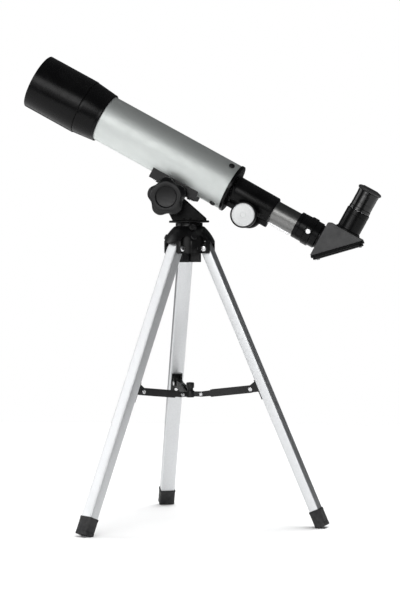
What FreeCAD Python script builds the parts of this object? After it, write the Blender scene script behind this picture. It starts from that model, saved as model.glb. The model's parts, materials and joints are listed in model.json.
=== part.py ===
import FreeCAD, Part
import math
import os
import Sketcher
from FreeCAD import Placement, Rotation, Vector

# Small refracting telescope on a folding tabletop tripod, in millimetres, +Z up.
# The tube lies in the X-Z plane with its objective towards -X. The sheet holds the driving sizes.

doc = FreeCAD.newDocument("telescope_on_tripod")
sheet = doc.addObject("Spreadsheet::Sheet", "Sizes")

SIZES = {
    # where the tripod's axis stands in the part's frame, and how the tube is aimed
    "axis_x": -14.191, "axis_y": -11.693, "tube_elevation": 29.2,
    "tube_end_x": 48.8, "tube_end_z": 386.3, "pivot_along": -56.0, "pivot_across": -43.5,
    # optical tube
    "tube_radius": 27.5, "tube_wall": 1.2, "tube_length": 180.0, "lens_radius": 25.0,
    "shield_radius": 32.75, "shield_bore": 31.0, "socket_radius": 31.65,
    "shield_front": -259.0, "shield_back": -194.4,
    # focuser, draw tube and pinion
    "focuser_radius": 16.8, "focuser_length": 57.0, "draw_radius": 13.2, "draw_bore": 11.9,
    "pinion_along": 31.0, "pinion_across": -19.0, "pinion_pitch_radius": 3.6, "knob_radius": 15.0,
    # diagonal and eyepiece
    "barrel_radius": 12.25, "box_front": 118.5, "box_side": 44.5, "box_half": 14.5,
    "box_top": 20.5, "eyepiece_along": 142.0, "holder_radius": 13.75, "holder_end": 47.0,
    # mount
    "disc_radius": 23.2, "disc_bottom": 346.5, "disc_thickness": 3.2,
    "cheek_inner": 6.5, "cheek_outer": 11.5, "clamp_knob_radius": 23.0, "bolt_radius": 3.0,
    # tripod
    "dome_radius": 29.5, "dome_bottom": 312.0, "crown_top": 342.5,
    "slot_width": 18.3, "window_azimuth": 40.6,
    "leg_pivot_out": 21.4, "leg_pivot_height": 316.8, "leg_tilt": 23.3, "first_leg": -9.1,
    "leg_depth": 11.5, "leg_width": 17.0, "leg_wall": 1.2, "leg_end": -340.0, "cap_end": -343.6,
    "arm_pivot_out": -15.3, "arm_pivot_down": -168.7,
    "arm_length": 60.4, "arm_height": 8.6, "arm_droop": 6.65,
    "hub_height": 148.8, "hub_pivot_out": 14.0,
}
for row, (alias, size) in enumerate(SIZES.items(), start=1):
    sheet.set(f"A{row}", alias)
    sheet.set(f"B{row}", str(size))
    sheet.setAlias(f"B{row}", alias)
doc.recompute()

SHIFT = Vector(sheet.axis_x, sheet.axis_y, 0)
NODES = []
TURN = 120

# ---- building helpers -------------------------------------------------------------------------

def value(size):
    """A number, or the value of an expression in the sheet's aliases."""
    return sheet.evalExpression(size) if isinstance(size, str) else size


def bind(item, prop, size):
    """Set a size, as an expression when it comes from the sheet."""
    if isinstance(size, str):
        item.setExpression(prop, in_sheet(size))
    else:
        setattr(item, prop, size)


def in_sheet(expression):
    """The expression with each alias written as Sizes.alias."""
    words = expression.split()
    return " ".join("Sizes." + word if word in SIZES else word for word in words)


def keep(item, name):
    """Make an object a named sub-part."""
    item.Label = name
    NODES.append(item)
    return item


def closed_sketch(body, name, plane, outline, holes=()):
    """A sketch on an origin plane: corners (x, y), or (x, y, mid_x, mid_y) where an arc ends there."""
    sketch = body.newObject("Sketcher::SketchObject", name)
    flat = [item for item in body.Origin.OriginFeatures if item.Role == plane][0]
    sketch.AttachmentSupport = [(flat, "")]
    sketch.MapMode = "FlatFace"
    corners = [(value(corner[0]), value(corner[1])) for corner in outline]
    count = len(outline)
    ends = []
    for index in range(count):
        start = Vector(*corners[index - 1], 0)
        stop = Vector(*corners[index], 0)
        if len(outline[index]) == 4:
            middle = Vector(value(outline[index][2]), value(outline[index][3]), 0)
            # a sketch keeps its arcs anticlockwise, so a clockwise one is drawn from its far end
            forward = (middle - start).cross(stop - middle).z > 0
            arc = Part.Arc(start, middle, stop) if forward else Part.Arc(stop, middle, start)
            edge = sketch.addGeometry(arc)
            ends.append((edge, 1, 2) if forward else (edge, 2, 1))
            centre = sketch.Geometry[edge].Center
            flat_chord = abs(stop.x - start.x) > abs(stop.y - start.y)
            kind, place = ("DistanceY", centre.y) if flat_chord else ("DistanceX", centre.x)
            sketch.addConstraint(Sketcher.Constraint(kind, -1, 1, edge, 3, place))
        else:
            edge = sketch.addGeometry(Part.LineSegment(start, stop))
            ends.append((edge, 1, 2))
    for index in range(count):
        edge, _, last = ends[index]
        following, first, _ = ends[(index + 1) % count]
        sketch.addConstraint(Sketcher.Constraint("Coincident", edge, last, following, first))
        for kind, size in (("DistanceX", outline[index][0]), ("DistanceY", outline[index][1])):
            hold = sketch.addConstraint(Sketcher.Constraint(kind, -1, 1, edge, last, value(size)))
            if isinstance(size, str):
                sketch.setExpression(f"Constraints[{hold}]", in_sheet(size))
    for centre_x, centre_y, radius in holes:
        centre = Vector(value(centre_x), value(centre_y), 0)
        edge = sketch.addGeometry(Part.Circle(centre, Vector(0, 0, 1), value(radius)))
        sketch.addConstraint(Sketcher.Constraint("DistanceX", -1, 1, edge, 3, value(centre_x)))
        sketch.addConstraint(Sketcher.Constraint("DistanceY", -1, 1, edge, 3, value(centre_y)))
        hold = sketch.addConstraint(Sketcher.Constraint("Radius", edge, value(radius)))
        if isinstance(radius, str):
            sketch.setExpression(f"Constraints[{hold}]", in_sheet(radius))
    return sketch


def lathe(name, outline, place):
    """A turned body: the outline is (radius, height) pairs, turned about the local Z axis."""
    body = doc.addObject("PartDesign::Body", name)
    sketch = closed_sketch(body, name + "_outline", "XZ_Plane", outline)
    turned = body.newObject("PartDesign::Revolution", name + "_turned")
    turned.Profile = sketch
    turned.ReferenceAxis = (sketch, ["V_Axis"])
    turned.Angle = 360
    body.Placement = place
    return body


def plate(name, outline, thickness, place, holes=()):
    """A flat body: the outline lies in the local X-Y plane and is padded along +Z."""
    body = doc.addObject("PartDesign::Body", name)
    sketch = closed_sketch(body, name + "_outline", "XY_Plane", outline, holes)
    pad = body.newObject("PartDesign::Pad", name + "_pad")
    pad.Profile = sketch
    bind(pad, "Length", thickness)
    body.Placement = place
    return body


def rounded(length, width, radius):
    """The outline of a centred rectangle with round corners."""
    far_x, far_y = length / 2, width / 2
    near_x, near_y = far_x - radius, far_y - radius
    slant = radius * math.sqrt(0.5)
    return [
        (near_x, -far_y), (far_x, -near_y, near_x + slant, -near_y - slant),
        (far_x, near_y), (near_x, far_y, near_x + slant, near_y + slant),
        (-near_x, far_y), (-far_x, near_y, -near_x - slant, near_y + slant),
        (-far_x, -near_y), (-near_x, -far_y, -near_x - slant, -near_y - slant),
    ]


def cylinder(name, radius, height, place):
    """A plain round bar along the local Z axis."""
    bar = doc.addObject("Part::Cylinder", name)
    bind(bar, "Radius", radius)
    bind(bar, "Height", height)
    bar.Placement = place
    return bar


def block(name, length, width, height, place):
    """A box whose base is centred on the placement's X-Y origin."""
    box = doc.addObject("Part::Box", name)
    bind(box, "Length", length)
    bind(box, "Width", width)
    bind(box, "Height", height)
    box.Placement = place * Placement(Vector(-value(length) / 2, -value(width) / 2, 0), Rotation())
    return box


def fuse(name, pieces):
    joined = doc.addObject("Part::MultiFuse", name)
    joined.Shapes = pieces
    joined.Refine = True
    return joined


def cut(name, base, tools):
    tool = tools[0] if len(tools) == 1 else fuse(name + "_tool", tools)
    left = doc.addObject("Part::Cut", name)
    left.Base = base
    left.Tool = tool
    return left


def copies(name, pattern, places):
    """Identical separate solids in one node: copies of a pattern shape made at the origin."""
    doc.recompute()
    solids = []
    for place in places:
        solid = pattern.Shape.copy()
        solid.Placement = place * pattern.Placement
        solids.append(solid)
    group = doc.addObject("Part::Feature", name)
    group.Shape = Part.makeCompound(solids)
    return keep(group, name)


def at(x, y, z, axis=Vector(0, 0, 1), angle=0):
    return Placement(Vector(x, y, z), Rotation(axis, angle))


def aimed(direction, x=0, y=0, z=0):
    """A placement whose local Z axis points along the direction."""
    return Placement(Vector(x, y, z), Rotation(Vector(0, 0, 1), direction))

# ---- frames -----------------------------------------------------------------------------------

stand = Placement(SHIFT, Rotation())
tilt = math.radians(sheet.tube_elevation)
across = Vector(math.sin(tilt), 0, math.cos(tilt))
along = Vector(math.cos(tilt), 0, -math.sin(tilt))
tube_turn = Rotation(across, Vector(0, -1, 0), along, "ZXY")
# In the tube's frame local X is across and up, Y is towards the knob side, Z is back along the tube.
tube = Placement(SHIFT + Vector(sheet.tube_end_x, 0, sheet.tube_end_z), tube_turn)
# In the side frame local X is back along the tube, Y is across and up, Z is towards the far side.
side = tube * Placement(Vector(), Rotation(Vector(0, 0, 1), Vector(1, 0, 0), Vector(0, 1, 0), "ZXY"))
NEAR = Vector(0, 1, 0)
FAR = Vector(0, -1, 0)
UP = Vector(1, 0, 0)
pivot_local = Vector(sheet.pivot_across, 0, sheet.pivot_along)
pivot = tube.multVec(pivot_local)


def leg_azimuth(index):
    return sheet.first_leg + TURN * index


def leg_frame(index):
    """At a leg's pivot: local Z runs up the leg, X is outwards, Y is sideways."""
    turn = stand * Placement(Vector(), Rotation(Vector(0, 0, 1), leg_azimuth(index)))
    out = at(sheet.leg_pivot_out, 0, sheet.leg_pivot_height, Vector(0, 1, 0), -sheet.leg_tilt)
    return turn * out


def arm_frame(index):
    """At a spreader arm's leg pivot: local X runs down the arm to the hub, Y is sideways."""
    leg = leg_frame(index)
    start = leg.multVec(Vector(sheet.arm_pivot_out, 0, sheet.arm_pivot_down))
    spin = Rotation(Vector(0, 0, 1), leg_azimuth(index) + 180)
    droop = Rotation(Vector(0, 1, 0), sheet.arm_droop)
    return Placement(start, spin * droop)

# ---- optical tube -----------------------------------------------------------------------------

def make_tube():
    inner = "tube_radius - tube_wall"
    walls = [(inner, "0 - tube_length"), ("tube_radius", "0 - tube_length"), ("tube_radius", 0), (inner, 0)]
    keep(lathe("main_tube", walls, tube), "main_tube")
    cell = [
        (27.55, -167.5), (29.0, -167.5), (29.6, -168.1, 29.42, -167.7), (32.0, -192.6),
        (31.7, -194.0, 31.95, -193.7), ("socket_radius - 0.05", -194.0),
        ("socket_radius - 0.05", -206.0), (28.5, -206.0),
        (28.5, -192.0), (25.1, -192.0), (25.1, -182.0), (23.6, -182.0), (23.6, -180.4), (27.55, -180.4),
    ]
    keep(lathe("objective_cell", cell, tube), "objective_cell")
    shield = [
        ("shield_bore", -206.5), ("socket_radius", -206.5), ("socket_radius", "shield_back"),
        ("shield_radius - 0.5", "shield_back"),
        ("shield_radius", "shield_back - 0.5"), ("shield_radius", "shield_front + 2.2"),
        ("shield_radius - 0.9", "shield_front", "shield_radius - 0.25", "shield_front + 0.65"),
        ("shield_bore + 0.5", "shield_front"), ("shield_bore", "shield_front + 1.2"),
    ]
    keep(lathe("dew_shield", shield, tube), "dew_shield")
    # each glass face has a small flat at the axis, where the sphere's own pole would be
    crown = [
        (0, -191.2), (1.5, -191.2), (25.0, -188.4, 13.0, -190.45), (25.0, -187.0),
        (1.5, -185.0, 13.0, -185.6), (0, -185.0),
    ]
    keep(lathe("crown_lens", crown, tube), "crown_lens")
    flint = [(0, -184.7), (1.5, -184.7), (25.0, -186.7, 13.0, -185.3), (25.0, -182.1), (0, -182.1)]
    keep(lathe("flint_lens", flint, tube), "flint_lens")
    ring = [(24.0, -192.05), (28.4, -192.05), (28.4, -195.6), (26.4, -195.6)]
    keep(lathe("lens_retaining_ring", ring, tube), "lens_retaining_ring")


SCREW_PLACES = (-80.5, -35.5)


def make_saddle():
    body = block("saddle_block", 12.0, 34.0, 59.0, tube * at(-27.7, 0, -87.4))
    lug = plate("saddle_lug", [
        (-64.4, -43.5), (-47.6, -43.5, -56.0, -51.9), (-44.0, -31.0), (-70.0, -31.0),
    ], 12.4, side * at(0, 0, -6.2), holes=[("pivot_along", "pivot_across", "bolt_radius + 0.05")])
    cradle = cylinder("saddle_cradle", "tube_radius + 0.02", 80, tube * at(0, 0, -100))
    bevels = []
    for sign in (1, -1):
        edge = tube * at(-33.7, sign * 17.0, -90, Vector(0, 0, 1), 45)
        bevels.append(block(f"saddle_bevel_{'near' if sign > 0 else 'far'}", 2.4, 2.4, 70, edge))
    holes = [cylinder(f"saddle_hole_{n}", 2.1, 14, tube * aimed(UP, -36, 0, where))
             for n, where in enumerate(SCREW_PLACES)]
    keep(cut("saddle", fuse("saddle_solid", [body, lug]), [cradle] + bevels + holes), "saddle")
    pattern = fuse("saddle_screw", [
        cylinder("saddle_screw_head", 3.4, 2.0, at(0, 0, 0)),
        cylinder("saddle_screw_shank", 2.0, 6.0, at(0, 0, 2.0)),
    ])
    spots = [tube * aimed(UP, -35.7, 0, where) for where in SCREW_PLACES]
    copies("saddle_screws", pattern, spots)

# ---- focuser ----------------------------------------------------------------------------------

REAR_ANGLES = (35, 155, 275)


def make_focuser():
    shell = lathe("focuser_shell", [
        (13.28, -10.0), (26.2, -10.0), (26.2, 0.05), (28.2, 0.05), (28.4, 0.6), (28.4, 3.0),
        (27.6, 3.7, 28.15, 3.5), (20.0, 5.0), ("focuser_radius", 8.2, 17.6, 6.0),
        ("focuser_radius - 0.6", "focuser_length - 1"), ("focuser_radius - 1.6", "focuser_length"),
        (13.28, "focuser_length"),
    ], tube)
    hollow = lathe("focuser_relief", [(17.5, -11), (24.6, -11), (24.6, -1.5), (17.5, -1.5)], tube)
    keel = block("focuser_keel", 8.3, 13.0, 52.5, tube * at(-16.15, 0, 4.4))
    bore = cylinder("focuser_bore", 13.28, 90, tube * at(0, 0, -20))
    channel = block("rack_channel", 5.2, 6.0, 90, tube * at(-13.8, 0, -20))
    pinion_line = tube * aimed(NEAR, sheet.pinion_across, 0, sheet.pinion_along)
    pocket = cylinder("pinion_pocket", 4.9, 6.0, pinion_line * at(0, 0, -3.0))
    bearing = cylinder("pinion_bearing", 2.05, 40, pinion_line * at(0, 0, -20))
    solid = fuse("focuser_solid", [shell, keel])
    keep(cut("focuser_body", solid, [bore, channel, pocket, bearing, hollow]), "focuser_body")
    head = lathe("rear_screw", [
        (0, 27.55), (3.4, 27.55), (3.4, 28.3), (2.2, 29.3, 3.05, 29.0), (0, 29.3),
    ], at(0, 0, 0))
    places = []
    for angle in REAR_ANGLES:
        spin = Placement(Vector(), Rotation(Vector(0, 0, 1), angle))
        places.append(tube * spin * aimed(UP, 0, 0, -8.5))
    copies("focuser_screws", head, places)
    cover_block = block("pinion_cover_block", 5.0, 13.0, 18.0, tube * at(-22.85, 0, 22.0))
    cover_pocket = cylinder("cover_pocket", 4.9, 6.0, pinion_line * at(0, 0, -3.0))
    cover_bearing = cylinder("cover_bearing", 2.05, 40, pinion_line * at(0, 0, -20))
    keep(cut("pinion_cover", cover_block, [cover_pocket, cover_bearing]), "pinion_cover")
    pattern = cylinder("cover_screw", 1.7, 1.1, at(0, 0, 0))
    spots = [tube * aimed(Vector(-1, 0, 0), -25.35, across_it, where)
             for where in (24.3, 37.7) for across_it in (-4.2, 4.2)]
    copies("pinion_cover_screws", pattern, spots)


TEETH = 9


def tooth_outline(root, tip, root_half, tip_half):
    """A tooth as a four-cornered outline about a radial line."""
    return [(root, -root_half), (tip, -tip_half), (tip, tip_half), (root, root_half)]


def make_pinion():
    centre = tube * aimed(NEAR, sheet.pinion_across, 0, sheet.pinion_along)
    pitch = sheet.pinion_pitch_radius
    shaft = cylinder("pinion_rod", 2.0, 50.0, centre * at(0, 0, -25.0))
    core = cylinder("pinion_core", pitch - 0.85, 5.2, centre * at(0, 0, -2.6))
    teeth = []
    for number in range(TEETH):
        spin = Rotation(Vector(0, 0, 1), 360 / TEETH * number)
        outline = tooth_outline(pitch - 1.1, pitch + 0.55, 0.62, 0.22)
        teeth.append(plate(f"pinion_tooth_{number}", outline, 5.2, centre * Placement(Vector(0, 0, 0), spin)
                           * at(0, 0, -2.6)))
    keep(fuse("pinion_shaft", [shaft, core] + teeth), "pinion_shaft")
    for name, direction in (("near", NEAR), ("far", FAR)):
        out = tube * aimed(direction, sheet.pinion_across, 0, sheet.pinion_along)
        knob = lathe(f"{name}_focus_knob", [
            (2.0, 15.5), (5.0, 15.5), (5.0, 18.5), ("knob_radius - 1.2", 18.5),
            ("knob_radius", 19.7, "knob_radius - 0.35", 18.85), ("knob_radius", 26.6),
            ("knob_radius - 1.4", 28.0, "knob_radius - 0.4", 27.6), (13.35, 28.0), (13.35, 25.6), (2.0, 25.6),
        ], out)
        keep(knob, f"{name}_focus_knob")
        disc = lathe(f"{name}_knob_disc", [
            (0, 25.65), (13.3, 25.65), (13.3, 27.5), (12.9, 27.9), (3.0, 28.3, 8.0, 28.2), (0, 28.3),
        ], out)
        keep(disc, f"{name}_knob_disc")


def make_draw_tube():
    keep(lathe("draw_tube", [
        ("draw_bore", -45.0), ("draw_radius", -45.0), ("draw_radius", 96.5), ("draw_bore", 96.5),
    ], tube), "draw_tube")
    pitch_line = sheet.pinion_across + sheet.pinion_pitch_radius
    space = 2 * math.pi * sheet.pinion_pitch_radius / TEETH
    top, root, tip = -13.12, pitch_line + 0.75, pitch_line - 0.5
    first, last = 5.0, 84.5
    bar = block("rack_bar", top - root, 5.0, last - first, tube * at((top + root) / 2, 0, first))
    ribs = []
    start = math.ceil((first + 1 - sheet.pinion_along) / space - 0.5) + 0.5
    number = 0
    while sheet.pinion_along + (start + number) * space < last - 1:
        where = sheet.pinion_along + (start + number) * space
        rib = plate(f"rack_tooth_{number}", [
            (where - 0.62, root + 0.05), (where - 0.24, tip), (where + 0.24, tip), (where + 0.62, root + 0.05),
        ], 5.0, side * at(0, 0, -2.5))
        ribs.append(rib)
        number += 1
    groove = cylinder("rack_seat", "draw_radius + 0.01", 100, tube * at(0, 0, 0))
    keep(cut("focus_rack", fuse("rack_solid", [bar] + ribs), [groove]), "focus_rack")
    collar = lathe("collar_solid", [
        (13.25, 87.0), (15.1, 87.0), (15.7, 87.6), (15.7, 99.8), (16.7, 100.4), (16.7, 107.8),
        (15.3, 108.4), (15.3, 115.0), (14.7, 115.8), (12.32, 115.8), (12.32, 97.6), (11.4, 97.6),
        (11.4, 96.6), (13.25, 96.6),
    ], tube)
    tapped = cylinder("collar_tapped_hole", 1.55, 8, tube * aimed(NEAR, 0, 11.0, 104.0))
    keep(cut("draw_tube_collar", collar, [tapped]), "draw_tube_collar")
    keep(lathe("collar_thumb_screw", [
        (0, 12.45), (1.5, 12.45), (1.5, 17.0), (2.6, 17.0), (3.0, 17.4), (3.0, 20.4), (2.4, 21.0),
        (0, 21.0),
    ], tube * aimed(NEAR, 0, 0, 104.0)), "collar_thumb_screw")

# ---- star diagonal and eyepiece ---------------------------------------------------------------

def make_diagonal():
    keep(lathe("diagonal_barrel", [
        (11.0, 99.0), (12.27, 99.0), (12.27, 116.2), (14.0, 116.2), (14.0, 118.5), (11.0, 118.5),
    ], tube), "diagonal_barrel")
    front, top, reach, half = sheet.box_front, sheet.box_top, sheet.box_side, sheet.box_half
    low = top - reach
    back = front + reach
    outer = plate("diagonal_outer", [
        (front, low + 1.6), (front, top - 2.5), (front + 2.5, top, front + 0.73, top - 0.73),
        (back - 1.6, top), (back - 1.0, top - 1.0), (front + 1.0, low + 1.0),
    ], "2 * box_half", side * at(0, 0, -half))
    chamber = plate("diagonal_chamber", [
        (front + 2.6, low + 5.2), (front + 2.6, top - 2.6), (back - 5.2, top - 2.6), (back - 2.0, top - 4.4),
        (front + 4.4, low + 2.0),
    ], 25.4, side * at(0, 0, -12.7))
    eye = tube * aimed(UP, 0, 0, sheet.eyepiece_along)
    light_in = cylinder("diagonal_light_in", 11.0, 8, tube * at(0, 0, front - 2))
    light_out = cylinder("diagonal_light_out", 11.6, 12, eye * at(0, 0, top - 6))
    keep(cut("diagonal_housing", outer, [chamber, light_in, light_out]), "diagonal_housing")
    prism = plate("diagonal_prism", [
        (front + 3.0, low + 6.2), (front + 3.0, top - 3.0), (back - 6.2, top - 3.0), (back - 4.4, top - 4.4),
        (front + 4.4, low + 4.4),
    ], 24.8, side * at(0, 0, -12.4))
    keep(prism, "diagonal_prism")
    middle = tube.multVec(Vector(low + reach / 2, 0, front + reach / 2))
    slope = (along - across)
    slope.normalize()
    lie = (along + across)
    lie.normalize()
    plate_turn = Rotation(lie, Vector(0, 1, 0), slope, "ZXY")
    plate_place = Placement(middle, plate_turn)
    base = plate("plate_base", rounded(61.0, 31.0, 2.0), 3.2, plate_place * at(0, 0, 0.05))
    rim = plate("plate_cover", rounded(58.0, 28.0, 3.0), 2.8, plate_place * at(0, 0, 3.0))
    keep(fuse("diagonal_back_plate", [base, rim]), "diagonal_back_plate")
    pattern = cylinder("plate_screw", 1.6, 0.9, at(0, 0, 0))
    spots = [plate_place * at(sx * 25.0, sy * 10.5, 5.8) for sx in (1, -1) for sy in (1, -1)]
    copies("back_plate_screws", pattern, spots)
    holder = lathe("eyepiece_holder", [
        (12.3, "box_top"), (15.0, "box_top"), (15.0, "box_top + 1.6"), ("holder_radius", "box_top + 2.4"),
        ("holder_radius", "holder_end - 0.8"), ("holder_radius - 0.6", "holder_end"), (12.3, "holder_end"),
    ], eye)
    keep(holder, "eyepiece_holder")


def make_eyepiece():
    eye = tube * aimed(UP, 0, 0, sheet.eyepiece_along)
    keep(lathe("eyepiece_barrel", [
        (11.2, 24.0), ("barrel_radius", 24.0), ("barrel_radius", 54.0), (11.2, 54.0),
    ], eye), "eyepiece_barrel")
    keep(lathe("eyepiece_body", [
        (12.27, 47.4), (12.9, 47.4), (12.9, 50.5), (12.5, 51.1), (12.5, 66.4), (12.8, 70.4), (8.4, 70.4),
        (8.4, 54.1), (12.27, 54.1),
    ], eye), "eyepiece_body")
    keep(lathe("eyepiece_cup", [
        (12.0, 70.45), (14.0, 71.4, 13.2, 70.75), (14.4, 72.8), (13.6, 74.4, 14.2, 73.9), (7.6, 76.0),
        (6.0, 75.2, 6.6, 76.0), (6.0, 70.45),
    ], eye), "eyepiece_cup")
    keep(lathe("field_lens", [
        (0, 48.0), (11.1, 48.0), (11.1, 49.6), (1.0, 52.2, 6.0, 51.5), (0, 52.2),
    ], eye), "field_lens")
    keep(lathe("eye_lens", [
        (0, 63.2), (1.0, 63.2), (8.3, 65.4, 4.8, 63.75), (8.3, 67.4), (0, 67.4),
    ], eye), "eye_lens")

# ---- mount ------------------------------------------------------------------------------------

def make_mount():
    base = stand * at(0, 0, sheet.disc_bottom)
    disc = lathe("yoke_disc", [
        (3.55, 0), ("disc_radius - 0.8", 0), ("disc_radius", 1.2, "disc_radius - 0.15", 0.4),
        ("disc_radius - 0.6", 2.4, "disc_radius - 0.1", 1.95),
        (12.5, "disc_thickness"), (12.5, 5.2), (3.55, 5.2),
    ], base)
    upright = Placement(SHIFT, Rotation(Vector(1, 0, 0), 90))
    px, pz = pivot.x - SHIFT.x, pivot.z
    reach = 8.6
    lean = math.radians(44)
    outline = [
        (-17.5, 349.0), (18.5, 349.0), (18.5, 351.6),
        (px + reach * math.sin(lean), pz + reach * math.cos(lean)),
        (px - reach * math.cos(lean * 0.55), pz - reach * math.sin(lean * 0.55),
         px - reach * math.sin(math.radians(30)), pz + reach * math.cos(math.radians(30))),
    ]
    cheeks = []
    for name, start in (("near", sheet.cheek_inner), ("far", -sheet.cheek_outer)):
        cheeks.append(plate(f"{name}_cheek", outline, "cheek_outer - cheek_inner", upright * at(0, 0, start),
                            holes=[(px, pz, "bolt_radius + 0.02")]))
    floor = block("yoke_floor", 30.0, 23.0, 3.0, base * at(1.0, 0, 2.6))
    hole = cylinder("yoke_bore", 3.55, 20, base * at(0, 0, -2))
    pocket = cylinder("yoke_bolt_pocket", 6.2, 8, base * at(0, 0, 5.2))
    keep(cut("mount_yoke", fuse("yoke_solid", [disc, floor] + cheeks), [hole, pocket]), "mount_yoke")
    keep(lathe("azimuth_bolt", [
        (0, 321.0), (3.5, 321.0), (3.5, 352.0), (5.6, 352.0), (5.6, 355.6), (4.8, 356.4), (0, 356.4),
    ], stand), "azimuth_bolt")
    turns = [math.radians(60 * n) for n in range(6)]
    nut_outline = [(6.4 * math.cos(turn), 6.4 * math.sin(turn)) for turn in turns]
    keep(plate("azimuth_nut", nut_outline, 5.0, stand * at(0, 0, 331.9), holes=[(0, 0, 3.5)]), "azimuth_nut")
    axle = Placement(pivot, Rotation(Vector(1, 0, 0), 90))
    keep(lathe("altitude_bolt", [
        (0, -15.5), (4.6, -15.5), (5.2, -14.9), (5.2, -11.5), ("bolt_radius", -11.5),
        ("bolt_radius", 24.0), (0, 24.0),
    ], axle), "altitude_bolt")
    keep(lathe("altitude_washer", [
        (3.05, 11.5), (8.0, 11.5), (8.0, 12.7), (3.05, 12.7),
    ], axle), "altitude_washer")
    make_clamp_knob(axle)


def make_clamp_knob(axle):
    """The five-lobed clamp knob: a turned blank with five scoops round its rim."""
    blank = lathe("clamp_blank", [
        (3.05, 13.0), (8.6, 13.0), (8.6, 18.6), (17.0, 20.0), ("clamp_knob_radius - 0.8", 20.4),
        ("clamp_knob_radius", 22.0, "clamp_knob_radius - 0.2", 21.0), ("clamp_knob_radius", 28.0),
        (18.2, 31.0, "clamp_knob_radius - 1.3", 30.4), (17.4, 31.8), (12.6, 31.8), (11.4, 30.2), (0, 29.4),
        (0, 24.6), (3.05, 24.6),
    ], axle)
    scoops = []
    for number in range(5):
        angle = 163.5 - 36 + 72 * number
        spin = axle * Placement(Vector(), Rotation(Vector(0, 0, 1), angle))
        scoops.append(cylinder(f"clamp_scoop_{number}", 10.5, 30, spin * at(28.6, 0, 10)))
    keep(cut("altitude_knob", blank, scoops), "altitude_knob")

# ---- tripod head ------------------------------------------------------------------------------

def make_head():
    shell = lathe("head_shell", [
        (3.5, 346.2), (15.6, 346.2), (15.6, "crown_top"), (17.4, "crown_top - 0.6"),
        ("dome_radius", 325.0, 24.9, 333.4), ("dome_radius", "dome_bottom"),
        ("dome_radius - 2.6", "dome_bottom"), ("dome_radius - 2.6", 325.0),
        (15.0, 337.0, 23.0, 331.6), (3.5, 337.0),
    ], stand)
    # a plate inside the dome joins the ears and carries one lobe under each leg's pivot
    solids = [shell, cylinder("head_plate", 17.5, 3.0, stand * at(0, 0, 311.0))]
    slots = []
    for index in range(3):
        turn = stand * Placement(Vector(), Rotation(Vector(0, 0, 1), leg_azimuth(index)))
        solids.append(block(f"lobe_{index}", 10.4, 6.5, 11.0, turn * at(8.0, 0, 301.0)))
        slots.append(block(f"slot_{index}", 31.0, "slot_width", 21.8, turn * at(29.5, 0, 295.0)))
        across_leg = aimed(NEAR, sheet.leg_pivot_out, -sheet.slot_width / 2, sheet.leg_pivot_height)
        slots.append(cylinder(f"slot_round_{index}", 9.8, "slot_width", turn * across_leg))
        pin = aimed(NEAR, sheet.leg_pivot_out, -14.0, sheet.leg_pivot_height)
        slots.append(cylinder(f"pin_hole_{index}", 2.5, 28, turn * pin))
        for sign in (1, -1):
            side_name = f"{index}_{'left' if sign > 0 else 'right'}"
            solids.append(block(f"ear_{side_name}", 15.5, 3.2, 13.6, turn * at(18.75, sign * 10.75, 311.0)))
            clearing = aimed(Vector(0, sign, 0), sheet.leg_pivot_out, sign * 12.38, sheet.leg_pivot_height)
            slots.append(cylinder(f"rivet_clearing_{side_name}", 3.9, 14, turn * clearing))
            window_turn = turn * Placement(Vector(), Rotation(Vector(0, 0, 1), sign * sheet.window_azimuth))
            slots.append(block(f"window_{side_name}", 12.0, 12.0, 30.0, window_turn * at(32.1, 0, 295.0)))
            arch = aimed(Vector(1, 0, 0), 21.0, 0, 325.0)
            slots.append(cylinder(f"window_arch_{side_name}", 6.0, 15, window_turn * arch))
    boss_turn = stand * Placement(Vector(), Rotation(Vector(0, 0, 1), leg_azimuth(0) - TURN / 2))
    solids.append(cylinder("lock_boss", 4.2, 7.0, boss_turn * aimed(Vector(1, 0, 0), 13.0, 0, 341.0)))
    lock_line = boss_turn * aimed(Vector(1, 0, 0), 0, 0, 341.0)
    slots.append(cylinder("lock_hole", 2.05, 22, lock_line * at(0, 0, 3.9)))
    slots.append(cylinder("lock_recess", 4.1, 10, lock_line * at(0, 0, 20.2)))
    stud_places = []
    for index in range(3):
        turn = stand * Placement(Vector(), Rotation(Vector(0, 0, 1), leg_azimuth(index) + TURN / 2))
        out = Vector(math.cos(math.radians(24)), 0, math.sin(math.radians(24)))
        stud_places.append(turn * aimed(out, 26.6, 0, 329.4))
        slots.append(cylinder(f"stud_recess_{index}", 3.45, 9, stud_places[-1]))
    keep(cut("tripod_head", fuse("head_solid", solids), slots), "tripod_head")
    rivet = lathe("leg_rivet", [
        (0, -14.0), (1.8, -14.0), (3.6, -12.4, 3.1, -13.45), (2.5, -12.4), (2.5, 12.4), (3.6, 12.4),
        (1.8, 14.0, 3.1, 13.45), (0, 14.0),
    ], at(0, 0, 0))
    places = []
    for index in range(3):
        places.append(leg_frame(index) * Placement(Vector(), Rotation(Vector(1, 0, 0), -90)))
    copies("leg_rivets", rivet, places)
    stud_outline = [(0, 0.02), (3.4, 0.02), (3.4, 2.0), (2.6, 2.8, 3.15, 2.6), (0, 2.8)]
    stud = lathe("head_screw", stud_outline, at(0, 0, 0))
    copies("head_screws", stud, stud_places)
    keep(lathe("azimuth_lock_screw", [
        (0, 4.2), (2.0, 4.2), (2.0, 20.4), (3.2, 20.4), (3.7, 20.9), (3.7, 23.6), (3.0, 24.4), (0, 24.4),
    ], lock_line), "azimuth_lock_screw")

# ---- legs and spreader ------------------------------------------------------------------------

SIDES = ("right", "back", "left")


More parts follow.
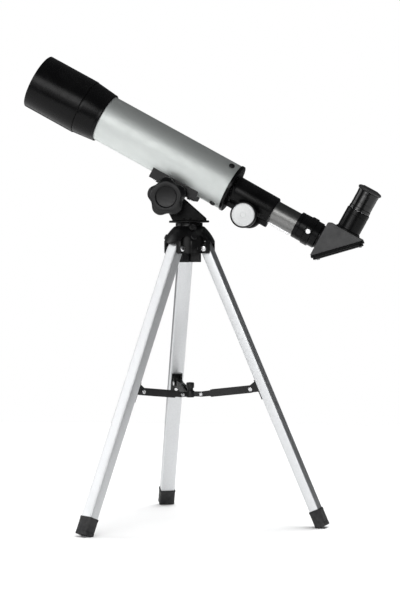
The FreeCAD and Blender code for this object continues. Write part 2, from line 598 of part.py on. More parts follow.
def make_leg(index, name):
    frame = leg_frame(index)
    outer = block(f"{name}_leg_outer", "leg_depth", "leg_width", "7.5 - leg_end",
                  frame * at(0, 0, sheet.leg_end))
    inner = block(f"{name}_leg_inner", "leg_depth - 2 * leg_wall", "leg_width - 2 * leg_wall", 360,
                  frame * at(0, 0, -350))
    sideways = Placement(Vector(0, 15, 0), Rotation(Vector(1, 0, 0), 90))
    pin = cylinder(f"{name}_leg_hole", 2.56, 30, frame * sideways)
    keep(cut(f"{name}_leg_tube", outer, [inner, pin]), f"{name}_leg_tube")
    cap = plate(f"{name}_cap_solid", rounded(13.5, 19.0, 1.2), 20.7, frame * at(0, 0, sheet.cap_end))
    socket = block(f"{name}_cap_socket", "leg_depth", "leg_width", 40, frame * at(0, 0, sheet.leg_end))
    floor = doc.addObject("Part::Box", f"{name}_floor")
    floor.Length, floor.Width, floor.Height = 900, 900, 50
    floor.Placement = at(-450, -450, -50)
    keep(cut(f"{name}_foot_cap", cap, [socket, floor]), f"{name}_foot_cap")
    out, down = sheet.arm_pivot_out, sheet.arm_pivot_down
    face = -sheet.leg_depth / 2
    base = block(f"{name}_bracket_base", 1.4, 13.0, 24.0, frame * at(face - 0.7, 0, down - 16.0))
    ears = []
    for sign in (1, -1):
        lay = frame * Placement(Vector(0, sign * 4.25, 0), Rotation(Vector(1, 0, 0), 90)) * at(0, 0, -0.7)
        ears.append(plate(f"{name}_bracket_ear_{'a' if sign > 0 else 'b'}", [
            (face - 1.0, down - 6.5), (face - 1.0, down + 6.5), (out, down + 4.0),
            (out, down - 4.0, out - 4.0, down),
        ], 1.4, lay, holes=[(out, down, 1.5)]))
    keep(fuse(f"{name}_leg_bracket", [base] + ears), f"{name}_leg_bracket")
    pin_lay = Rotation(Vector(1, 0, 0), -90)
    arm_pin = lathe(f"{name}_arm_pin", [
        (0, -6.2), (1.6, -6.2), (2.4, -5.6, 2.15, -6.05), (2.4, -4.95), (1.5, -4.95), (1.5, 4.95), (2.4, 4.95),
        (2.4, 5.6), (1.6, 6.2, 2.15, 6.05), (0, 6.2),
    ], frame * Placement(Vector(out, 0, down), pin_lay))
    rivet = lathe(f"{name}_bracket_rivet", [
        (0, 0), (2.3, 0), (1.2, 1.2, 1.95, 0.85), (0, 1.2),
    ], frame * aimed(Vector(-1, 0, 0), face - 1.4, 0, down - 12.0))
    doc.recompute()
    group = doc.addObject("Part::Feature", f"{name}_bracket_rivets")
    group.Shape = Part.makeCompound([arm_pin.Shape, rivet.Shape])
    keep(group, f"{name}_bracket_rivets")


def make_arm(index, name):
    frame = arm_frame(index)
    lay = frame * Placement(Vector(), Rotation(Vector(1, 0, 0), 90))
    length = sheet.arm_length
    tall = sheet.arm_height / 2
    cheeks = []
    for sign in (1, -1):
        cheeks.append(plate(f"{name}_arm_cheek_{'a' if sign > 0 else 'b'}", [
            (0, -tall, -tall, 0), (length - 12.0, -tall), (length - 11.0, -3.2), (length, -3.0),
            (length, 3.0, length + 3.0, 0), (length - 11.0, 3.2), (length - 12.0, tall), (0, tall),
        ], 1.2, lay * at(0, 0, sign * 2.7 - 0.6), holes=[(0, 0, 1.56)]))
    web = block(f"{name}_arm_web", length - 22.0, 6.0, 1.2,
                frame * at((length - 22.0) / 2 + 6.0, 0, 0.15 - tall))
    heads = []
    for sign in (1, -1):
        spot = frame * aimed(Vector(0, sign, 0), length, 0, 0)
        heads.append(lathe(f"{name}_arm_head_{'a' if sign > 0 else 'b'}", [
            (0, 1.8), (1.4, 1.8), (1.4, 3.2), (2.4, 3.2), (1.6, 4.2, 2.2, 3.85), (0, 4.2),
        ], spot))
    keep(fuse(f"{name}_spreader_arm", cheeks + [web] + heads), f"{name}_spreader_arm")


def make_hub():
    middle = stand * at(0, 0, sheet.hub_height)
    core = lathe("hub_core", [
        (0, -4.0), (3.6, -4.0), (4.8, -3.0, 4.5, -3.7), (4.8, 3.4), (3.4, 4.2), (3.4, 6.6), (4.6, 7.2),
        (4.6, 12.4), (3.8, 13.2), (0, 13.6),
    ], middle)
    tongues = []
    for index in range(3):
        turn = middle * Placement(Vector(), Rotation(Vector(0, 0, 1), leg_azimuth(index)))
        tongues.append(plate(f"hub_tongue_{index}", [
            (2.0, -2.9), ("hub_pivot_out", -2.9), ("hub_pivot_out", 2.9, "hub_pivot_out + 2.9", 0),
            (2.0, 2.9),
        ], 2.8, turn * Placement(Vector(0, 1.4, 0), Rotation(Vector(1, 0, 0), 90))))
    keep(fuse("spreader_hub", [core] + tongues), "spreader_hub")


make_tube()
make_saddle()
make_focuser()
make_pinion()
make_draw_tube()
make_diagonal()
make_eyepiece()
make_mount()
make_head()
for leg, leg_name in enumerate(SIDES):
    make_leg(leg, leg_name)
    make_arm(leg, leg_name)
make_hub()

# ---- check and export -------------------------------------------------------------------------

doc.recompute()
for item in doc.Objects:
    if "Invalid" in item.State or "Error" in item.State:
        raise RuntimeError(f"{item.Name} failed: {item.State}")
box = FreeCAD.BoundBox()
for node in NODES:
    if node.Shape.isNull() or not node.Shape.isValid():
        raise RuntimeError(f"{node.Label} has no valid shape")
    box.add(node.Shape.BoundBox)
os.makedirs("parts", exist_ok=True)
for node in NODES:
    node.Shape.exportStep(f"parts/{node.Label}.step")
ends = (box.XMin, box.XMax, box.YMin, box.YMax, box.ZMin, box.ZMax)
print(len(NODES), "nodes", [round(size, 3) for size in ends])
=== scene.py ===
import json
import math

import bmesh
import bpy
from mathutils import Matrix, Vector


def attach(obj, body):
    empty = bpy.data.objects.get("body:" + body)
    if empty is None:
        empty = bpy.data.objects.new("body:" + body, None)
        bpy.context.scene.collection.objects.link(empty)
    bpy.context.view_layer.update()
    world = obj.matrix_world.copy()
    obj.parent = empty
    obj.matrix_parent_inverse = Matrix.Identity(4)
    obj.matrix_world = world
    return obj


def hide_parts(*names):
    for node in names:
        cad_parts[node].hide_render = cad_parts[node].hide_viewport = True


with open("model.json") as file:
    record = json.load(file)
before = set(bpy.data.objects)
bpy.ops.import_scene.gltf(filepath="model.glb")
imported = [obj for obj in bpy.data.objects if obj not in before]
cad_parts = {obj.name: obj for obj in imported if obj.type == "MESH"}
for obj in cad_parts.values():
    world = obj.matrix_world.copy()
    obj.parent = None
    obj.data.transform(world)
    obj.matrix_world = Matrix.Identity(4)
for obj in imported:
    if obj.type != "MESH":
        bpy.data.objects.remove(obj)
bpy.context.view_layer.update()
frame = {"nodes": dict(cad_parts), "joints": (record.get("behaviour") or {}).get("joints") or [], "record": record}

# Looks of a small refracting telescope on a folding tabletop tripod. Local frames are placed from the packed
# frame's joints and mounts. Pieces are drawn in millimetres in a local frame and set down by a matrix.

MM = 0.001
SCALE = Matrix.Scale(MM, 4)

JOINTS = {joint["name"]: joint for joint in frame["joints"]}
MOUNTS = {mount["name"]: mount for mount in frame["record"]["mounts"]}
SIDES = ("right", "back", "left")
UP = Vector((0, 0, 1))

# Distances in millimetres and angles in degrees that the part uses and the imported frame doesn't give.
# "Along" is measured back from the rear end of the main tube, "across" up from its centre line.
MOUTH_ALONG = -232.0
EYE_ALONG = 142.0
PINION_ALONG = 31.0
PINION_ACROSS = -19.0
PLATE_ALONG = 140.75
PLATE_ACROSS = -1.75
LEG_TILT = 23.3
ARM_DROOP = 6.65
ARM_LENGTH = 60.4
FIRST_LOBE = 163.5


# ---- local frames -----------------------------------------------------------------------------

def basis(x, y, z, origin):
    """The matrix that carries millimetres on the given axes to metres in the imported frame."""
    turn = Matrix((x, y, z)).transposed().to_4x4()
    return Matrix.Translation(origin) @ turn @ SCALE


def aimed(direction):
    """A turn whose Z axis points along the direction, for use inside another local frame."""
    return UP.rotation_difference(Vector(direction)).to_matrix().to_4x4()


def move(x=0, y=0, z=0):
    return Matrix.Translation((x, y, z))


def tilt(degrees):
    return Matrix.Rotation(math.radians(degrees), 4, "Y")


def leg_axes(side):
    """A leg's hinge axis, and the level direction from the hinge towards the foot."""
    sideways = Vector(JOINTS[f"{side}_leg_fold"]["axis"])
    return sideways, sideways.cross(UP)


ALONG = Vector(JOINTS["draw_tube_slide"]["axis"])
ACROSS = Vector(JOINTS["eyepiece_slide"]["axis"])
TUBE_END = Vector(MOUNTS["dew_shield_mouth"]["pos_m"]) - ALONG * MOUTH_ALONG * MM
# In the tube's frame X is across and up, Y towards the knob side and Z back along the tube.
TUBE = basis(ACROSS, ALONG.cross(ACROSS), ALONG, TUBE_END)
AXIS = Vector(JOINTS["azimuth_turn"]["pos_m"])
STAND = basis(Vector((1, 0, 0)), Vector((0, 1, 0)), UP, (AXIS.x, AXIS.y, 0))
PIVOT = Vector(JOINTS["altitude_turn"]["pos_m"])
EYE = TUBE @ move(0, 0, EYE_ALONG) @ aimed((1, 0, 0))


# ---- node materials ---------------------------------------------------------------------------

class Shader:
    """A small helper round one material's node tree."""

    def __init__(self, name):
        self.material = bpy.data.materials.new(name)
        self.material.use_nodes = True
        self.tree = self.material.node_tree
        self.surface = self.tree.nodes["Principled BSDF"]
        self.place = self.tree.nodes.new("ShaderNodeTexCoord").outputs["Object"]

    def node(self, kind, **inputs):
        made = self.tree.nodes.new("ShaderNode" + kind)
        for label, setting in inputs.items():
            made.inputs[label].default_value = setting
        return made

    def link(self, source, target):
        self.tree.links.new(source, target)

    def noise(self, scale, detail, rough=0.5):
        made = self.node("TexNoise", Scale=scale, Detail=detail, Roughness=rough)
        self.link(self.place, made.inputs["Vector"])
        return made.outputs["Fac"]

    def cells(self, scale):
        made = self.node("TexVoronoi", Scale=scale)
        self.link(self.place, made.inputs["Vector"])
        return made.outputs["Distance"]

    def spread(self, source, low, high, start=0.3, stop=0.7):
        """The source remapped from start..stop to low..high."""
        made = self.node("MapRange")
        made.inputs["From Min"].default_value = start
        made.inputs["From Max"].default_value = stop
        made.inputs["To Min"].default_value = low
        made.inputs["To Max"].default_value = high
        self.link(source, made.inputs["Value"])
        return made.outputs["Result"]

    def blend(self, factor, first, second):
        made = self.tree.nodes.new("ShaderNodeMix")
        made.data_type = "RGBA"
        made.inputs["A"].default_value = (*first, 1)
        made.inputs["B"].default_value = (*second, 1)
        self.link(factor, made.inputs["Factor"])
        return made.outputs["Result"]

    def math(self, operation, first, second):
        made = self.tree.nodes.new("ShaderNodeMath")
        made.operation = operation
        for slot, item in enumerate((first, second)):
            if isinstance(item, (int, float)):
                made.inputs[slot].default_value = item
            else:
                self.link(item, made.inputs[slot])
        return made.outputs["Value"]

    def bump(self, height, distance):
        made = self.node("Bump", Strength=1.0, Distance=distance)
        self.link(height, made.inputs["Height"])
        return made.outputs["Normal"]

    def feed(self, label, source):
        self.link(source, self.surface.inputs[label])

    def fix(self, label, setting):
        self.surface.inputs[label].default_value = setting


def plastic(name, dark, light, rough, grain, grain_height, shine):
    """Moulded plastic: fine mould grain, faint handling marks and slow changes of shade."""
    shader = Shader(name)
    shade = shader.noise(38, 4)
    shader.feed("Base Color", shader.blend(shader.spread(shade, 0, 1), dark, light))
    marks = shader.noise(160, 6, 0.7)
    shader.feed("Roughness", shader.spread(marks, rough * 0.75, rough * 1.3))
    shader.feed("Normal", shader.bump(shader.noise(grain, 2), grain_height))
    shader.fix("Specular IOR Level", shine)
    return shader.material


def metallic_paint(name):
    """Silver lacquer: metal flakes under a clear coat."""
    shader = Shader(name)
    flakes = shader.cells(5200)
    tone = shader.spread(flakes, 0, 1, 0.0, 0.9)
    cloud = shader.noise(22, 3)
    mixed = shader.math("ADD", shader.math("MULTIPLY", tone, 0.55), shader.math("MULTIPLY", cloud, 0.45))
    shader.feed("Base Color", shader.blend(mixed, (0.56, 0.59, 0.58), (0.72, 0.745, 0.73)))
    shader.fix("Metallic", 0.92)
    shader.feed("Roughness", shader.spread(shader.noise(140, 5), 0.55, 0.63))
    shader.feed("Normal", shader.bump(shader.noise(1500, 2), 0.00003))
    shader.fix("Coat Weight", 0.1)
    shader.fix("Coat Roughness", 0.3)
    return shader.material


def bare_metal(name, dark, light, rough, metal=1.0):
    """Metal with a fine grain that shows in its shade, its finish and its height."""
    shader = Shader(name)
    grain = shader.noise(900, 4, 0.6)
    shader.feed("Base Color", shader.blend(shader.spread(grain, 0, 1), dark, light))
    shader.fix("Metallic", metal)
    shader.feed("Roughness", shader.spread(grain, rough * 0.7, rough * 1.35))
    shader.feed("Normal", shader.bump(grain, 0.00002))
    return shader.material


def rubber(name):
    """Matt rubber with a little pale dust on it."""
    shader = Shader(name)
    dust = shader.spread(shader.noise(55, 5, 0.65), 0, 1, 0.45, 0.8)
    shader.feed("Base Color", shader.blend(dust, (0.010, 0.010, 0.011), (0.035, 0.034, 0.033)))
    shader.feed("Roughness", shader.spread(shader.noise(240, 4), 0.55, 0.8))
    shader.feed("Normal", shader.bump(shader.noise(2400, 3), 0.00006))
    return shader.material


def glass(name):
    """Coated optical glass: the film's tint drifts from green to violet."""
    shader = Shader(name)
    film = shader.noise(12, 2)
    shader.feed("Base Color", shader.blend(film, (0.80, 0.92, 0.90), (0.86, 0.84, 0.95)))
    shader.fix("Transmission Weight", 1.0)
    shader.fix("IOR", 1.52)
    shader.feed("Roughness", shader.spread(shader.noise(90, 4), 0.0, 0.02))
    shader.fix("Coat Weight", 0.5)
    return shader.material


JET = (0.0022, 0.0022, 0.0024)
INK = (0.0045, 0.0045, 0.0048)
SOOT = (0.008, 0.008, 0.0085)
HOUSING_DARK = (0.026, 0.026, 0.027)
HOUSING_LIGHT = (0.046, 0.046, 0.047)
MATERIALS = {
    "black_gloss": plastic("black_gloss", JET, INK, 0.24, 700, 0.00003, 0.12),
    "black_satin": plastic("black_satin", JET, SOOT, 0.33, 1500, 0.00004, 0.25),
    "black_steel": plastic("black_steel", JET, SOOT, 0.36, 1300, 0.00005, 0.35),
    "black_screw": plastic("black_screw", JET, SOOT, 0.3, 900, 0.00004, 0.4),
    "eyepiece_black": plastic("eyepiece_black", JET, INK, 0.18, 700, 0.00003, 0.4),
    "black_rubber": rubber("black_rubber"),
    "silver_paint": metallic_paint("silver_paint"),
    "leg_aluminium": bare_metal("leg_aluminium", (0.60, 0.61, 0.62), (0.71, 0.72, 0.73), 0.42),
    "bright_metal": bare_metal("bright_metal", (0.62, 0.62, 0.63), (0.80, 0.80, 0.81), 0.25),
    "dark_metal": bare_metal("dark_metal", (0.14, 0.14, 0.137), (0.27, 0.27, 0.265), 0.38),
    "knob_silver": bare_metal("knob_silver", (0.60, 0.61, 0.61), (0.74, 0.75, 0.75), 0.5, metal=0.5),
    "optical_glass": glass("optical_glass"),
}

# The diagonal's cast housing is paler and duller than the other black mouldings, and the yoke is darker.
OWN_MATERIAL = {
    "mount_yoke": plastic("yoke_black", JET, INK, 0.4, 1500, 0.00004, 0.1),
    "diagonal_housing": plastic("housing_black", HOUSING_DARK, HOUSING_LIGHT, 0.5, 900, 0.00005, 0.5),
}

for entry in frame["record"]["subparts"]:
    node = frame["nodes"][entry["node"]]
    node.data.materials.clear()
    node.data.materials.append(OWN_MATERIAL.get(entry["node"], MATERIALS[entry["material_slot"]]))


# ---- mesh tools -------------------------------------------------------------------------------

SMOOTH = math.radians(38)
FILLET_STEPS = 4
CORNER_STEPS = 5


def finish_piece(name, mesh, place, nodes, body, material):
    """Link a mesh drawn in a local frame: it rides on a body and stands for CAD nodes."""
    mesh.transform(place)
    if place.determinant() < 0:
        mesh.flip_normals()
    mesh.polygons.foreach_set("use_smooth", [True] * len(mesh.polygons))
    mesh.set_sharp_from_angle(angle=SMOOTH)
    piece = bpy.data.objects.new(name, mesh)
    bpy.context.scene.collection.objects.link(piece)
    mesh.materials.append(MATERIALS[material])
    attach(piece, body)
    if nodes:
        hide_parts(*nodes)


def softened(profile):
    """A closed (radius, height, fillet) outline with each corner rounded by its fillet."""
    points = []
    count = len(profile)
    for index, corner in enumerate(profile):
        here = Vector(corner[:2])
        fillet = corner[2] if len(corner) > 2 else 0
        before = Vector(profile[index - 1][:2]) - here
        after = Vector(profile[(index + 1) % count][:2]) - here
        if fillet <= 0 or before.length < 1e-9 or after.length < 1e-9:
            points.append(tuple(here))
            continue
        bend = before.angle(after)
        back = min(fillet / math.tan(bend / 2), before.length * 0.49, after.length * 0.49)
        first = here + before.normalized() * back
        last = here + after.normalized() * back
        for step in range(FILLET_STEPS + 1):
            share = step / FILLET_STEPS
            point = first * (1 - share) ** 2 + here * 2 * share * (1 - share) + last * share ** 2
            points.append(tuple(point))
    return points


def turned_mesh(name, profile, ripple=None, segments=144):
    """A mesh of revolution about local Z. ripple(angle, radius, height) may change a radius."""
    verts, rings = [], []
    for radius, height in softened(profile):
        if radius < 1e-6:
            rings.append([len(verts)] * segments)
            verts.append((0, 0, height))
            continue
        ring = []
        for turn in range(segments):
            angle = 2 * math.pi * turn / segments
            size = ripple(angle, radius, height) if ripple else radius
            ring.append(len(verts))
            verts.append((size * math.cos(angle), size * math.sin(angle), height))
        rings.append(ring)
    faces = []
    for index, low in enumerate(rings):
        high = rings[(index + 1) % len(rings)]
        for turn in range(segments):
            after = (turn + 1) % segments
            corners = list(dict.fromkeys((low[turn], low[after], high[after], high[turn])))
            if len(corners) > 2:
                faces.append(corners)
    mesh = bpy.data.meshes.new(name)
    mesh.from_pydata(verts, [], faces)
    face_outwards(mesh)
    return mesh


def face_outwards(mesh):
    shape = bmesh.new()
    shape.from_mesh(mesh)
    bmesh.ops.recalc_face_normals(shape, faces=shape.faces)
    shape.to_mesh(mesh)
    shape.free()


def turned(name, profile, place, nodes, body, material, **options):
    """A turned piece. Its profile lists (radius, height) or (radius, height, fillet) corners."""
    finish_piece(name, turned_mesh(name, profile, **options), place, nodes, body, material)


def round_rect(long_x, long_y, radius):
    """The points of a centred rectangle with round corners."""
    points = []
    for corner, (side_x, side_y) in enumerate(((1, 1), (-1, 1), (-1, -1), (1, -1))):
        for step in range(CORNER_STEPS + 1):
            angle = math.pi / 2 * (corner + step / CORNER_STEPS)
            points.append((side_x * (long_x / 2 - radius) + radius * math.cos(angle),
                           side_y * (long_y / 2 - radius) + radius * math.sin(angle)))
    return points


def solid_mesh(name, outline, low, high, hole=None, bevel=0.0, bevel_steps=3):
    """A flat outline pushed along local Z, with an optional hole of the same shape and soft edges."""
    shape = bmesh.new()
    loops = []
    for points in [outline] + ([hole] if hole else []):
        bottom = [shape.verts.new((x, y, low)) for x, y in points]
        top = [shape.verts.new((x, y, high)) for x, y in points]
        for index in range(len(points)):
            after = (index + 1) % len(points)
            shape.faces.new((bottom[index], bottom[after], top[after], top[index]))
        loops.append((bottom, top))
    if hole:
        for level in (0, 1):
            outer, inner = loops[0][level], loops[1][level]
            for index in range(len(outer)):
                after = (index + 1) % len(outer)
                shape.faces.new((outer[index], outer[after], inner[after], inner[index]))
    else:
        shape.faces.new(list(reversed(loops[0][0])))
        shape.faces.new(loops[0][1])
    bmesh.ops.recalc_face_normals(shape, faces=shape.faces)
    if bevel:
        edges = [edge for edge in shape.edges
                 if len(edge.link_faces) == 2 and edge.calc_face_angle(0) > math.radians(30)]
        bmesh.ops.bevel(shape, geom=edges, offset=bevel, segments=bevel_steps, profile=0.5, affect="EDGES",
                        clamp_overlap=True)
    mesh = bpy.data.meshes.new(name)
    shape.to_mesh(mesh)
    shape.free()
    return mesh


def joined(name, parts):
    """One mesh from several in the same local frame."""
    shape = bmesh.new()
    for part in parts:
        shape.from_mesh(part)
        bpy.data.meshes.remove(part)
    mesh = bpy.data.meshes.new(name)
    shape.to_mesh(mesh)
    shape.free()
    return mesh


# ---- optical tube -----------------------------------------------------------------------------

def make_optics():
    """The main tube with its shield and objective cell, and the draw tube with its collar."""
    shield = [
        (31.66, -194.45), (32.5, -194.45, 0.3), (32.75, -195.2, 0.3), (32.73, -258.4, 0.8),
        (31.1, -258.4, 0.8), (31.02, -256.0),
    ]
    groove_step = 2.0
    for groove in range(24):
        start = -255.0 + groove * groove_step
        shield += [(31.02, start), (31.35, start + 0.5), (31.35, start + 1.0), (31.02, start + 1.5)]
    shield += [(31.02, -206.4), (31.66, -206.4)]
    turned("dew_shield_skin", shield, TUBE, ["dew_shield"], "telescope_tube", "black_gloss")
    cell = [
        (27.6, -167.5), (29.1, -167.5, 0.4), (29.55, -168.4, 0.3), (29.6, -170.6, 0.2),
        (29.35, -170.9, 0.1), (29.35, -171.5, 0.1), (29.8, -171.9, 0.2), (31.95, -191.6, 0.6),
        (31.95, -193.7, 0.35), (31.6, -193.95), (31.6, -205.9, 0.3), (28.55, -205.9, 0.3),
        (28.55, -192.0), (25.15, -192.0), (25.15, -182.0), (23.7, -182.0), (23.7, -180.5), (27.6, -180.5),
    ]
    turned("objective_cell_skin", cell, TUBE, ["objective_cell"], "telescope_tube", "black_gloss")
    walls = [(26.35, -179.9), (27.49, -179.9), (27.49, -0.1, 0.35), (26.35, -0.1, 0.2)]
    turned("main_tube_skin", walls, TUBE, ["main_tube"], "telescope_tube", "silver_paint")
    draw = [(11.95, -44.9), (13.19, -44.9, 0.2), (13.19, 96.4), (11.95, 96.4)]
    turned("draw_tube_skin", draw, TUBE, ["draw_tube"], "draw_tube", "dark_metal")
    collar = [
        (13.3, 87.05), (15.0, 87.05, 0.5), (15.65, 87.8, 0.4), (15.65, 91.2, 0.2), (15.2, 91.6, 0.1),
        (15.2, 92.2, 0.1), (15.65, 92.6, 0.2), (15.65, 99.6, 0.3), (16.65, 100.5, 0.4), (16.65, 107.7, 0.4),
        (15.25, 108.5, 0.3), (15.25, 115.0, 0.5), (14.5, 115.75, 0.3), (12.35, 115.75, 0.2), (12.35, 97.7),
        (11.45, 97.7), (11.45, 96.7), (13.3, 96.7),
    ]
    turned("draw_tube_collar_skin", collar, TUBE, ["draw_tube_collar"], "draw_tube", "black_gloss")


def knurl(count, depth, low, high, inner):
    """A ripple for a grip: fine ribs between two heights, on radii beyond inner."""
    def ripple(angle, radius, height):
        if radius < inner or not low <= height <= high:
            return radius
        return radius - depth * (0.5 - 0.5 * math.cos(angle * count))
    return ripple


def make_focus_knobs():
    """A ribbed black knob with a turned silver disc at each end of the pinion."""
    ribs = knurl(48, 0.55, 21.5, 25.3, 14.5)
    for side, direction in (("near", 1), ("far", -1)):
        place = TUBE @ move(PINION_ACROSS, 0, PINION_ALONG) @ aimed((0, direction, 0))
        rim = [
            (2.1, 15.6), (4.9, 15.6, 0.3), (4.9, 18.55, 0.5), (14.0, 18.55, 0.8), (14.95, 19.8, 0.3),
            (14.95, 20.4), (14.95, 21.6), (14.95, 25.2), (14.95, 26.4), (14.95, 27.2, 0.6),
            (14.2, 27.95, 0.5), (13.38, 27.95, 0.2), (13.38, 25.62), (2.1, 25.62),
        ]
        turned(f"{side}_focus_knob_skin", rim, place, [f"{side}_focus_knob"], "pinion", "black_satin",
               ripple=ribs, segments=288)
        disc = [
            (0, 25.66), (13.28, 25.66), (13.28, 27.3, 0.3), (12.7, 27.75, 0.3), (11.9, 27.6, 0.2),
            (11.5, 27.7, 0.3), (3.2, 28.1, 0.5), (2.9, 27.9, 0.2), (0, 27.9),
        ]
        turned(f"{side}_knob_disc_skin", disc, place, [f"{side}_knob_disc"], "pinion", "knob_silver")


def make_eyepiece():
    """The eyepiece's body and cup, and the holder that it slides in."""
    body = [
        (12.3, 47.06), (12.75, 47.06, 0.15), (12.85, 47.5, 0.2), (12.85, 50.3, 0.3), (12.45, 51.0, 0.2),
        (12.45, 56.0), (12.2, 56.2), (12.2, 56.6), (12.45, 56.8), (12.45, 65.4), (12.45, 66.2, 0.5),
        (12.75, 70.35, 0.2), (8.45, 70.35), (8.45, 54.15), (12.3, 54.15),
    ]
    turned("eyepiece_body_skin", body, EYE, ["eyepiece_body"], "eyepiece", "eyepiece_black")
    cup = [
        (11.9, 70.5), (13.2, 70.8, 0.4), (14.35, 72.2, 0.8), (14.3, 73.6, 0.8), (13.0, 74.7, 0.8),
        (8.2, 75.95, 1.0), (6.9, 75.95, 0.5), (6.05, 74.6, 0.4), (6.05, 70.5),
    ]
    turned("eyepiece_cup_skin", cup, EYE, ["eyepiece_cup"], "eyepiece", "black_rubber")
    holder = [
        (12.35, 20.55), (14.95, 20.55, 0.2), (14.95, 21.9, 0.3), (13.9, 22.7, 0.3), (13.7, 23.2, 0.2),
        (13.7, 40.4), (13.45, 40.7), (13.45, 41.1), (13.7, 41.4), (13.7, 46.2, 0.5), (13.1, 46.95, 0.3),
        (12.35, 46.95, 0.2),
    ]
    turned("eyepiece_holder_skin", holder, EYE, ["eyepiece_holder"], "star_diagonal", "black_gloss")


def make_clamp_knob():
    """The altitude knob: five lobes round a raised ring with a dished middle."""
    place = Matrix.Translation(PIVOT) @ Matrix.Rotation(math.radians(90), 4, "X") @ SCALE
    round_core = 16.0
    core_height = 19.0
    lobe_depth = 4.1

    def lobes(angle, radius, height):
        if radius < round_core or height < core_height:
            return radius
        wave = 0.5 - 0.5 * math.cos(5 * (angle - math.radians(FIRST_LOBE)))
        reach = (radius - round_core) / 7.0
        return radius - lobe_depth * reach * wave ** 1.35

    blank = [
        (3.1, 13.05), (8.5, 13.05, 0.3), (8.5, 18.4, 1.2), (17.0, 20.1, 0.8), (21.8, 20.6, 0.8),
        (22.95, 22.4, 1.0), (22.95, 25.0), (22.6, 28.4, 2.2), (18.4, 30.9, 1.2), (17.5, 31.75, 0.5),
        (12.7, 31.75, 0.6), (11.4, 30.1, 0.5), (0, 29.35), (0, 24.65), (3.1, 24.65),
    ]
    turned("altitude_knob_skin", blank, place, ["altitude_knob"], "altitude_knob", "black_satin",
           ripple=lobes, segments=240)


def make_diagonal_plate():
    """The star diagonal's back plate: ribbed long edges, a raised cover and a pressed border."""
    slope = (ALONG - ACROSS).normalized()
    lie = (ALONG + ACROSS).normalized()
    middle = TUBE_END + (ACROSS * PLATE_ACROSS + ALONG * PLATE_ALONG) * MM
    place = basis(lie, slope.cross(lie), slope, middle)
    ribs = [(-28.0 + 0.8 * step, 15.45 if step % 2 else 15.0) for step in range(71)]
    edge = [(-30.45, -14.0), (-29.2, -15.0)] + [(x, -y) for x, y in ribs] + [(29.2, -15.0), (30.45, -14.0)]
    edge += [(-x, -y) for x, y in edge]
    base = solid_mesh("plate_base", edge, 0.06, 3.1, bevel=0.12, bevel_steps=1)
    cover = solid_mesh("plate_cover", round_rect(57.8, 27.8, 3.0), 3.0, 5.75, bevel=0.6)
    border = solid_mesh("plate_border", round_rect(54.0, 24.0, 2.0), 5.6, 5.79, round_rect(51.0, 21.0, 1.2))
    whole = joined("back_plate", [base, cover, border])
    finish_piece("diagonal_back_plate_skin", whole, place, ["diagonal_back_plate"], "star_diagonal",
                 "black_gloss")


def make_arm_rivets(side):
    """The bright rivet heads on both cheeks where a spreader arm meets the hub."""
    sideways, outward = leg_axes(side)
    start = Vector(JOINTS[f"{side}_arm_fold"]["pos_m"])
    place = basis(-outward, -sideways, UP, start) @ tilt(ARM_DROOP)
    head = [(0, 3.1), (2.5, 3.1), (2.5, 3.4, 0.1), (1.7, 4.25, 0.4), (0, 4.25)]
    for label, sign in (("a", 1), ("b", -1)):
        spot = place @ move(ARM_LENGTH, 0, 0) @ aimed((0, sign, 0))
        turned(f"{side}_arm_rivet_{label}", head, spot, [], f"{side}_arm", "bright_metal", segments=48)


def make_head_lining():
    """Inner walls behind the dome's arched windows, between each pair of legs."""
    outer_radius = 22.3
    inner_radius = 21.0
    first_angle = 26.0
    sweep = 68.0
    count = 18
    walls = []
    for side in SIDES:
        outward = leg_axes(side)[1]
        azimuth = math.degrees(math.atan2(outward.y, outward.x))
        outline = []
        for radius, steps in ((outer_radius, range(count + 1)), (inner_radius, range(count, -1, -1))):
            for step in steps:
                angle = math.radians(azimuth + first_angle + sweep * step / count)
                outline.append((radius * math.cos(angle), radius * math.sin(angle)))
        walls.append(solid_mesh("lining_wall", outline, 311.5, 333.0))
    finish_piece("head_lining", joined("lining", walls), STAND, [], "tripod_head", "black_satin")


# ---- legs -------------------------------------------------------------------------------------

def make_leg(side):
    """A rectangular tube with its rubber foot. In its frame Z runs up the leg from the hinge."""
    sideways, outward = leg_axes(side)
    hinge = Vector(JOINTS[f"{side}_leg_fold"]["pos_m"])
    place = basis(outward, sideways, UP, hinge) @ tilt(-LEG_TILT)
    outside = round_rect(11.44, 16.94, 1.5)
    inside = round_rect(8.6, 14.1, 0.8)
    tube = solid_mesh(f"{side}_tube", outside, -339.9, 7.4, inside)
    finish_piece(f"{side}_leg_skin", tube, place, [f"{side}_leg_tube"], f"{side}_leg", "leg_aluminium")
    cap = cap_mesh(f"{side}_cap")
    finish_piece(f"{side}_foot_skin", cap, place, [f"{side}_foot_cap"], f"{side}_leg", "black_rubber")


